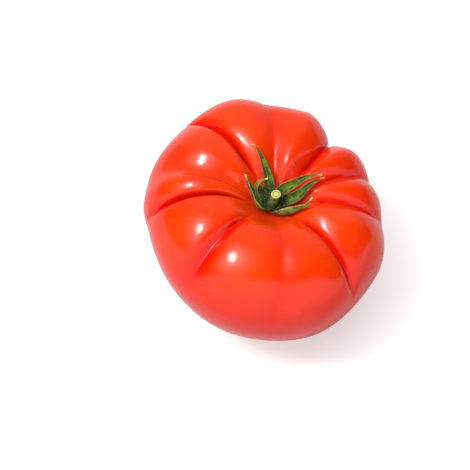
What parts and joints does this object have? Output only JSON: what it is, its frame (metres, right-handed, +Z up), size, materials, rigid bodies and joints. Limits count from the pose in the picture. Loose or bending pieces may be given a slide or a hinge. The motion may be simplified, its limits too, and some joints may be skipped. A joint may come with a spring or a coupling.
{
  "type": "ribbed beefsteak tomato",
  "caption": "Large ribbed red tomato with a green calyx and a short cut stem, standing on its blossom end.",
  "frame": {"origin": "centre of the small flat spot at the blossom end, on the surface that the fruit rests on, straight below the stem", "axes": "+Z up along the stem axis, +X to the right, +Y to the back, away from the camera"},
  "size_m": [0.0987, 0.1053, 0.0639],
  "materials": {
    "skin": "smooth glossy orange-red skin, deeper red in the grooves, with fine pale specks",
    "calyx": "dark green, finely hairy",
    "stem": "pale green stub with a pale yellow-green cut face",
    "sepal": "matt green blade with a paler outer face and a dry pale tip"
  },
  "bodies": {
    "root": {"fruit": "skin", "calyx_hub": "calyx", "cut_stem": "stem", "sepal_1": "sepal", "sepal_2": "sepal", "sepal_3": "sepal", "sepal_4": "sepal", "sepal_5": "sepal", "sepal_6": "sepal"}
  },
  "joints": []
}
